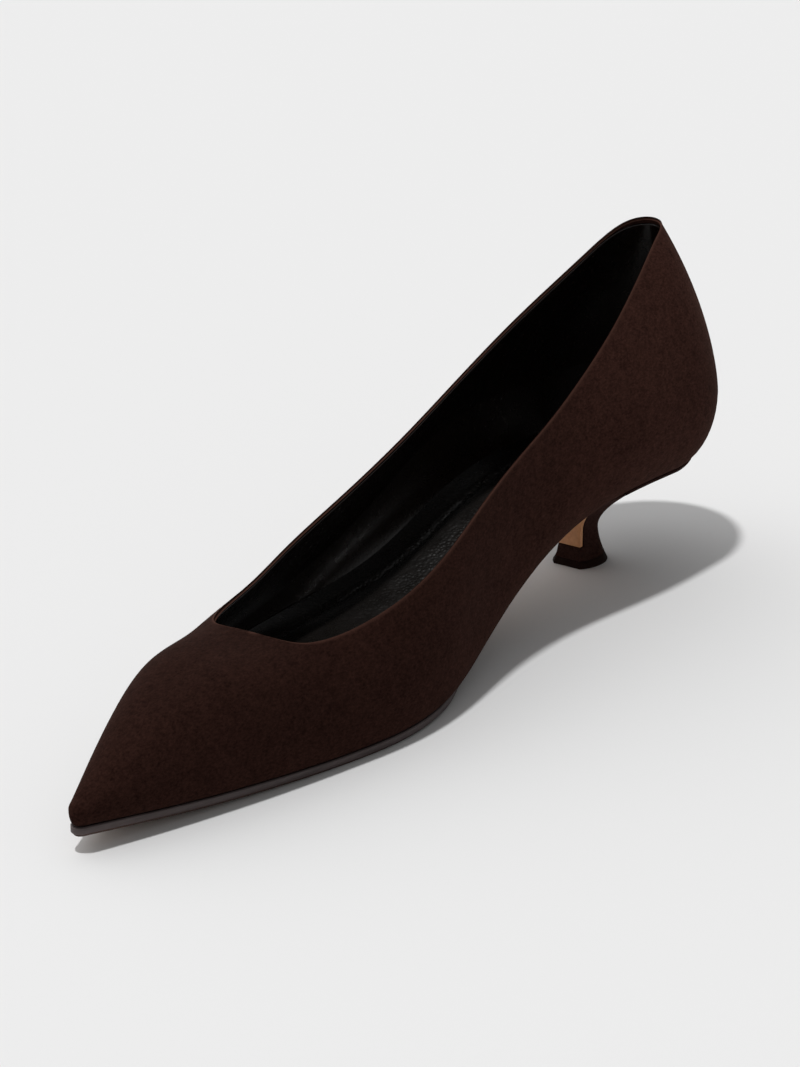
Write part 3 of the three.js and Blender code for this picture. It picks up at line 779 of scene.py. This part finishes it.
def make_outsole():
    """Thin leather sole: tan underneath, painted edge in two steps with a brown line between"""
    end = (-BREAST_LINE - CLEARANCE - TOE_Y) / LENGTH
    keys = [key for key in stations() if key[0] == "toe" or (key[0] == "body" and key[1] < end)]
    keys.append(("body", end))
    forms = [section(*key) for key in keys]
    patches = Patchwork()
    bottoms, tops, backs = {}, {}, {}
    for side in SIDES:
        bands = {"under": [], "lip": [], "line": [], "edge": [], "top": []}
        for form in forms:
            beyond = ledge(form)
            top = form["feather"] - CLEARANCE
            bottom = top - SOLE_THICKNESS
            step = bottom + LIP_THICKNESS
            place = lambda out, z: edge_point(form, side, out, z)
            foot = place(beyond - LIP_INSET - EDGE_ROUND, bottom)
            centre = centre_point(form, bottom)
            under = [centre + (foot - centre) * i / SOLE_ROWS for i in range(SOLE_ROWS + 1)]
            lip = [foot, place(beyond - LIP_INSET, bottom + EDGE_ROUND), place(beyond - LIP_INSET, step - 0.1)]
            line = [lip[-1], place(beyond - LIP_INSET * 0.4, step), place(beyond - 0.08, step + 0.1)]
            edge = [line[-1], place(beyond, step + 0.25), place(beyond, (step + top) / 2),
                    place(beyond, top - 0.25), place(beyond - 0.25, top)]
            inner = centre_point(form, top)
            over = [edge[-1] + (inner - edge[-1]) * i / 4 for i in range(5)]
            for name, row in (("under", under), ("lip", lip), ("line", line), ("edge", edge), ("top", over)):
                bands[name].append(row)
        flip = side == "lateral"
        for name, slot in (("under", 0), ("lip", 2), ("line", 2), ("edge", 1), ("top", 1)):
            patches.grid(bands[name], flip=not flip, slot=slot)
        backs[side] = np.concatenate([np.array(bands[name][-1]) for name in ("under", "lip", "line", "edge", "top")])
    patches.grid(np.stack([backs["medial"], backs["lateral"]]), slot=1, flip=True)
    piece = patches.build("outsole", [SOLE, EDGE, EDGE_LINE], math.radians(35))
    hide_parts("outsole")
    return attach(piece, BODY)


# Heel

PANEL_INSET = BREAST_THICKNESS + CLEARANCE
HEEL_STEPS = 44
RIM_SIDE = 0.4
NECK_PULL, RIM_PULL, WRAP_STEP = 0.42, 0.36, 0.02


def sole_underside(y):
    return section("body", (y - TOE_Y) / LENGTH)["feather"] - CLEARANCE - SOLE_THICKNESS


PANEL_TOP = sole_underside(-BREAST_LINE - PANEL_INSET) - CLEARANCE


def heel_outline(size, share):
    corner = math.acos(size["front_half"] / size["half"])
    angle = -corner + (QUARTER + corner) * share
    reach = size["back"] if angle > 0 else size["front"] / math.sin(corner)
    return np.array([size["half"] * math.cos(angle), reach * math.sin(angle)])


def foot_share(z):
    return max((NECK_HEIGHT - z) / NECK_HEIGHT, 0.0) ** FOOT_FLARE


def front_line(z):
    """How far forward the finished front of the heel stands at a height, panel included"""
    if z < NECK_HEIGHT:
        return HEEL_NECK["front"] + (HEEL_BASE["front"] - HEEL_NECK["front"]) * foot_share(z)
    share = min((z - NECK_HEIGHT) / (PANEL_TOP - NECK_HEIGHT), 1.0)
    return HEEL_NECK["front"] + (BREAST_LINE + PANEL_INSET - HEEL_NECK["front"]) * share ** BREAST_FLARE


def rim_station(share):
    front = (-BREAST_LINE - TOE_Y) / LENGTH
    if share < RIM_SIDE:
        return section("body", front + (LAST - front) * share / RIM_SIDE)
    return section("cup", (share - RIM_SIDE) / (1 - RIM_SIDE) * QUARTER)


def cup_point(share, side, angle, thickness=0.0):
    return form_points(rim_station(share), side, angle, -CLEARANCE - thickness)[0]


def foot_point(share, side, z):
    neck, base = heel_outline(HEEL_NECK, share), heel_outline(HEEL_BASE, share)
    x, y = neck + (base - neck) * foot_share(z)
    return np.array([SIGN[side] * x, y, z])


def flare_curve(share, side):
    """Control points of the heel's flare from its neck to its rim"""
    start = foot_point(share, side, NECK_HEIGHT)
    end = cup_point(share, side, RIM_ANGLE, RIM_THICKNESS)
    below = cup_point(share, side, RIM_ANGLE - WRAP_STEP, RIM_THICKNESS)
    slope = (end - below) / np.linalg.norm(end - below)
    straight = start + (0, 0, NECK_PULL * (end[2] - start[2]))
    return start, straight, end - slope * RIM_PULL * np.linalg.norm(end - start), end


def bezier(controls, t):
    a, b, c, d = controls
    return (1 - t) ** 3 * a + 3 * (1 - t) ** 2 * t * b + 3 * (1 - t) * t * t * c + t ** 3 * d


HEEL_SHARES = [i / HEEL_STEPS for i in range(HEEL_STEPS + 1)]
FLARES = {(share, side): flare_curve(share, side) for share in HEEL_SHARES for side in SIDES}
ACROSS_STEPS = 8
CORNER_ROUND = 0.5


def heel_loop(point_at, inset):
    """One closed ring: front middle, medial corner, round the back, lateral corner, front middle"""
    halves = {}
    for side in SIDES:
        half = []
        for share in HEEL_SHARES:
            point = np.array(point_at(share, side))
            front = inset - front_line(point[2])
            point[1] = front if share == 0 else max(point[1], front)
            half.append(point)
        halves[side] = half
    right, left = halves["medial"][0], halves["lateral"][0]
    across = [left + (right - left) * i / ACROSS_STEPS for i in range(1, ACROSS_STEPS)]
    return np.array([*halves["medial"], *halves["lateral"][-2::-1], *across, right])


def make_heel():
    """Suede covered heel from above its lift to the cup under the seat"""
    foot = LIFT_THICKNESS + 0.1
    notch = PANEL_FOOT - CLEARANCE
    loops = []
    for z in np.linspace(foot, notch, 10):
        loops.append(heel_loop(lambda share, side: foot_point(share, side, z), 0.0))
    for z in np.linspace(notch, NECK_HEIGHT, 6)[:-1]:
        loops.append(heel_loop(lambda share, side: foot_point(share, side, z), PANEL_INSET))
    for t in np.linspace(0, 1, 30):
        loops.append(heel_loop(lambda share, side: bezier(FLARES[share, side], t), PANEL_INSET))
    patches = Patchwork()
    patches.grid(loops, flip=True)
    middle = np.mean(loops[0], axis=0)
    patches.grid([loops[0], np.broadcast_to(middle, loops[0].shape)], flip=False)
    turned = [RIM_ANGLE + (-QUARTER - RIM_ANGLE) * i / 4 for i in range(5)]
    for side in SIDES:
        rows = [[cup_point(share, side, RIM_ANGLE, RIM_THICKNESS)]
                + [cup_point(share, side, angle) for angle in turned] for share in HEEL_SHARES]
        patches.grid(rows, flip=side == "lateral")
    piece = patches.build("heel", [HEEL_SUEDE], math.radians(38))
    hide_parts("heel")
    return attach(piece, BODY)


def make_lift():
    """Thin tip under the heel, its edges just broken"""
    bevel = 0.2
    levels = ((0.0, bevel), (bevel, 0.0), (LIFT_THICKNESS - bevel, 0.0), (LIFT_THICKNESS, bevel))
    loops = []
    for z, inward in levels:
        loop = heel_loop(lambda share, side: foot_point(share, side, z), 0.0)
        centre = loop.mean(axis=0)
        reach = np.linalg.norm(loop - centre, axis=1, keepdims=True)
        loops.append(centre + (loop - centre) * (1 - inward / reach))
    patches = Patchwork()
    patches.grid(loops, flip=True)
    for loop, flip in ((loops[0], False), (loops[-1], True)):
        patches.grid([loop, np.broadcast_to(loop.mean(axis=0), loop.shape)], flip=flip)
    piece = patches.build("top_lift", [LIFT], math.radians(30))
    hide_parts("top_lift")
    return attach(piece, BODY)


def front_corner(side, z):
    if z < NECK_HEIGHT:
        return foot_point(0, side, z)[0]
    heights = [bezier(FLARES[0.0, side], t) for t in np.linspace(0, 1, 200)]
    return float(np.interp(z, [p[2] for p in heights], [p[0] for p in heights]))


def make_breast():
    """Tan leather let into the front of the heel, its edges softly rounded"""
    bevel = 0.3
    rows = []
    for z in np.linspace(PANEL_FOOT, PANEL_TOP, 40):
        right, left = front_corner("medial", z), front_corner("lateral", z)
        front = -front_line(z)
        back = front + BREAST_THICKNESS
        ring = [(left, back), (left, front + bevel), (left + bevel * 0.3, front + bevel * 0.3), (left + bevel, front)]
        ring += [(left + (right - left) * t, front) for t in (0.25, 0.5, 0.75)]
        ring += [(right - bevel, front), (right - bevel * 0.3, front + bevel * 0.3), (right, front + bevel), (right, back)]
        ring += [(left, back)]
        rows.append([(x, y, z) for x, y in ring])
    rows = np.array(rows)
    patches = Patchwork()
    patches.grid(rows, flip=True)
    for row, flip in ((rows[0], False), (rows[-1], True)):
        patches.grid([row, np.broadcast_to(row.mean(axis=0), row.shape)], flip=flip)
    piece = patches.build("heel_breast", [TAN], math.radians(30))
    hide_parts("heel_breast")
    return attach(piece, BODY)


# Camera, floor and lights

CAMERA_PLACE = Vector((0.5553, -0.8994, 0.4282))
CAMERA_AIM = Vector((-0.001, -0.088, 0.036))
PHOTO_HEIGHT = 1067
PHOTO_FOCAL = 2460     # focal length of the photograph, pixels of its 800 x 1067 frame
ENLARGE = 1.66         # the one shoe fills the frame
SENSOR = 36.0


def make_camera():
    data = bpy.data.cameras.new("camera")
    data.sensor_width = SENSOR
    data.lens = SENSOR * PHOTO_FOCAL * ENLARGE / PHOTO_HEIGHT
    data.clip_end = 20
    camera = bpy.data.objects.new("camera", data)
    camera.location = CAMERA_PLACE
    camera.rotation_mode = "QUATERNION"
    camera.rotation_quaternion = (CAMERA_AIM - CAMERA_PLACE).to_track_quat("-Z", "Y")
    bpy.context.scene.collection.objects.link(camera)
    bpy.context.scene.camera = camera


def make_floor():
    size = 12.0
    mesh = bpy.data.meshes.new("floor")
    corners = [(-size, -size, 0), (size, -size, 0), (size, size, 0), (-size, size, 0)]
    mesh.from_pydata(corners, [], [(0, 1, 2, 3)])
    nodes = Nodes("floor_paint", roughness=0.9, specular_ior_level=0.0)
    mesh.materials.append(nodes.finish((0.80, 0.80, 0.80, 1)))
    floor = bpy.data.objects.new("floor", mesh)
    bpy.context.scene.collection.objects.link(floor)


KEY_FROM = Vector((-0.105, -0.150, 1.0))
KEY_STRENGTH = 1.75
KEY_SPREAD = math.radians(4.2)
AMBIENT = 0.18
# Soft lights of the room: towards where, strength, and the cosines between which each grows
ROOM_LIGHTS = (
    {"towards": (-0.9, 0.0, 0.4), "strength": 0.55, "from": 0.35, "to": 0.95},
    {"towards": (-0.6, 0.6, 0.5), "strength": 0.55, "from": 0.35, "to": 0.95},
    {"towards": (0.5, -0.8, 0.2), "strength": 0.12, "from": 0.35, "to": 0.95},
)


def make_world():
    world = bpy.data.worlds.new("studio")
    world.use_nodes = True
    tree = world.node_tree
    ways = tree.nodes.new("ShaderNodeTexCoord").outputs["Generated"]
    total = None
    for light in ROOM_LIGHTS:
        dot = tree.nodes.new("ShaderNodeVectorMath")
        dot.operation = "DOT_PRODUCT"
        tree.links.new(ways, dot.inputs[0])
        dot.inputs[1].default_value = Vector(light["towards"]).normalized()
        ramp = tree.nodes.new("ShaderNodeMapRange")
        ramp.interpolation_type = "SMOOTHSTEP"
        tree.links.new(dot.outputs["Value"], ramp.inputs["Value"])
        ramp.inputs["From Min"].default_value = light["from"]
        ramp.inputs["From Max"].default_value = light["to"]
        ramp.inputs["To Max"].default_value = light["strength"]
        add = tree.nodes.new("ShaderNodeMath")
        add.operation = "ADD"
        tree.links.new(ramp.outputs["Result"], add.inputs[0])
        if total is None:
            add.inputs[1].default_value = AMBIENT
        else:
            tree.links.new(total, add.inputs[1])
        total = add.outputs[0]
    background = tree.nodes["Background"]
    background.inputs["Color"].default_value = (1, 1, 1, 1)
    tree.links.new(total, background.inputs["Strength"])
    bpy.context.scene.world = world


def make_lights():
    sun = bpy.data.lights.new("key", "SUN")
    sun.energy = KEY_STRENGTH
    sun.angle = KEY_SPREAD
    key = bpy.data.objects.new("key", sun)
    key.rotation_mode = "QUATERNION"
    key.rotation_quaternion = KEY_FROM.to_track_quat("Z", "Y")
    bpy.context.scene.collection.objects.link(key)
    make_world()
    bpy.context.scene.view_settings.view_transform = "Standard"


make_camera()
make_floor()
make_lights()
make_upper()
make_lining()
make_sock()
make_stitches()
make_outsole()
make_heel()
make_lift()
make_breast()
